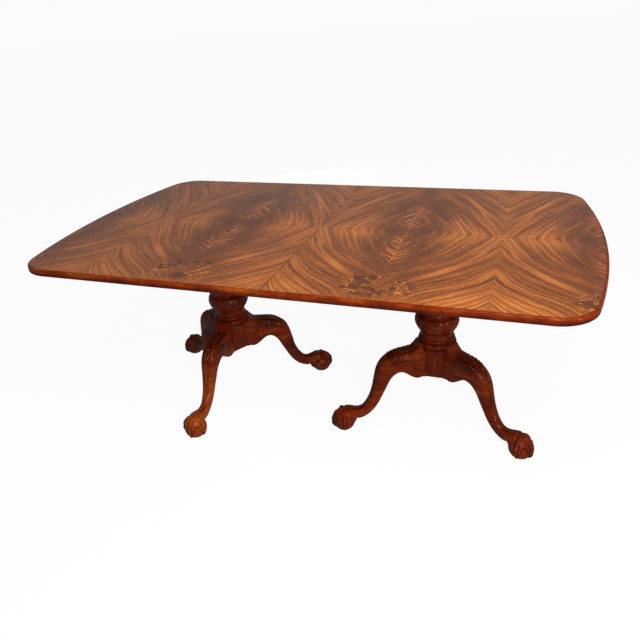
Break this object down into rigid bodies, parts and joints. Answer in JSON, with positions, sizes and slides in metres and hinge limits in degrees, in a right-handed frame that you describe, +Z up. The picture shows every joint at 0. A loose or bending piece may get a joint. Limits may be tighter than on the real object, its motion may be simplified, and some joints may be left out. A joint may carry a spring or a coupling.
{
  "type": "double pedestal dining table",
  "caption": "Extending dining table with a bow-ended figured veneer top in two halves on turned pedestals with carved cabriole legs and ball-and-claw feet.",
  "frame": {"origin": "on the floor under the middle of the top", "axes": "+X along the length of the table, across the seam towards the half that slides out; +Z up; -Y is the side nearest the picture's camera"},
  "size_m": [1.99, 1.15, 0.762],
  "materials": {
    "figured_veneer": "gloss lacquer",
    "mahogany": "gloss lacquer",
    "core_board": "sanded",
    "hardwood": "waxed",
    "steel": "zinc plated"
  },
  "bodies": {
    "left_half": {"left_cleat_screws": "steel", "left_column": "mahogany", "left_edge_moulding": "mahogany", "left_face_veneer": "figured_veneer", "left_front_leg": "mahogany", "left_inner_cleat": "hardwood", "left_inner_leg": "mahogany", "left_leg_block": "mahogany", "left_lock_screws": "steel", "left_outer_cleat": "hardwood", "left_outer_leg": "mahogany", "left_plate_screws": "steel", "left_slide_screws": "steel", "left_spider_plate": "steel", "left_spider_screws": "steel", "left_tie_rod": "steel", "left_tie_rod_nuts": "steel", "left_tie_rod_washers": "steel", "left_top_panel": "core_board", "left_top_plate": "hardwood", "alignment_pins": "hardwood", "front_slide_left_rail": "hardwood", "rear_slide_left_rail": "hardwood", "front_lock_base": "steel", "rear_lock_catch": "steel"},
    "right_half": {"right_cleat_screws": "steel", "right_column": "mahogany", "right_edge_moulding": "mahogany", "right_face_veneer": "figured_veneer", "right_inner_cleat": "hardwood", "right_inner_leg": "mahogany", "right_leg_block": "mahogany", "right_lock_screws": "steel", "right_outer_cleat": "hardwood", "right_outer_leg": "mahogany", "right_plate_screws": "steel", "right_rear_leg": "mahogany", "right_slide_screws": "steel", "right_spider_plate": "steel", "right_spider_screws": "steel", "right_tie_rod": "steel", "right_tie_rod_nuts": "steel", "right_tie_rod_washers": "steel", "right_top_panel": "core_board", "right_top_plate": "hardwood", "front_slide_right_rail": "hardwood", "rear_slide_right_rail": "hardwood", "rear_lock_base": "steel", "front_lock_catch": "steel"},
    "slide_middles": {"front_slide_middle_rail": "hardwood", "rear_slide_middle_rail": "hardwood"},
    "front_lock": {"front_lock_lever": "steel"},
    "rear_lock": {"rear_lock_lever": "steel"}
  },
  "joints": [
    {"name": "table_extension", "type": "slide", "parent": "left_half", "child": "right_half", "axis": [1, 0, 0], "range_m": [0, 0.914]},
    {"name": "middle_rail_travel", "type": "slide", "parent": "left_half", "child": "slide_middles", "axis": [1, 0, 0], "range_m": [0, 0.457]},
    {"name": "front_lock_turn", "type": "hinge", "parent": "left_half", "child": "front_lock", "pos_m": [-0.045, -0.421, 0.7283], "axis": [0, 0, 1], "range_deg": [0, 90]},
    {"name": "rear_lock_turn", "type": "hinge", "parent": "right_half", "child": "rear_lock", "pos_m": [0.045, 0.421, 0.7283], "axis": [0, 0, 1], "range_deg": [0, 90]}
  ],
  "couplings": [
    {"joint": "middle_rail_travel", "follows": "table_extension", "ratio": 0.5}
  ]
}
